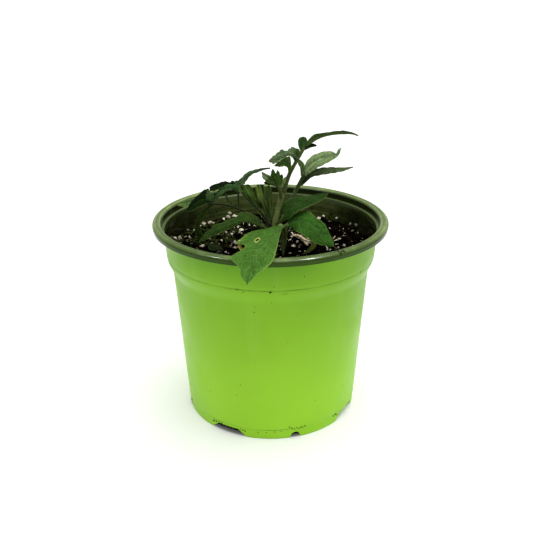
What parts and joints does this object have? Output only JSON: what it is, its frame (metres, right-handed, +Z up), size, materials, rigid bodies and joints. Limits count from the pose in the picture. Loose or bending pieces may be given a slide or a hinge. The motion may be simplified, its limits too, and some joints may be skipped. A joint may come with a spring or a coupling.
{
  "type": "tomato plant in a pot",
  "caption": "Young tomato plant with toothed compound leaves in a round nursery pot, lime outside and dark olive inside, filled with potting mix.",
  "frame": {"origin": "centre of the pot's underside, on the table plane", "axes": "+Z up along the pot's axis, -Y towards the front of the picture, +X towards its right"},
  "size_m": [0.114, 0.1226, 0.1411],
  "materials": {
    "pot": "lime skin outside, dark olive skin inside and on the rolled lip, soft sheen",
    "potting_mix": "damp, dark, crumbly, with pale grains",
    "bark": "dry, fibrous",
    "stem": "soft, finely haired",
    "leaf": "matt to soft sheen, veined",
    "seed_leaf": "smooth, fading"
  },
  "bodies": {
    "root": {"pot": "pot", "potting_mix": "potting_mix", "bark_chip": "bark", "stem": "stem", "leaf_front": "leaf", "leaf_right": "leaf", "leaf_right_upper": "leaf", "leaf_left_low": "leaf", "leaf_left_far": "leaf", "leaf_left_tall": "leaf", "leaf_back_right": "leaf", "leaf_top": "leaf", "leaf_young": "leaf", "seed_leaf_front": "seed_leaf", "seed_leaf_right": "seed_leaf", "shed_leaflet": "leaf"}
  },
  "joints": []
}
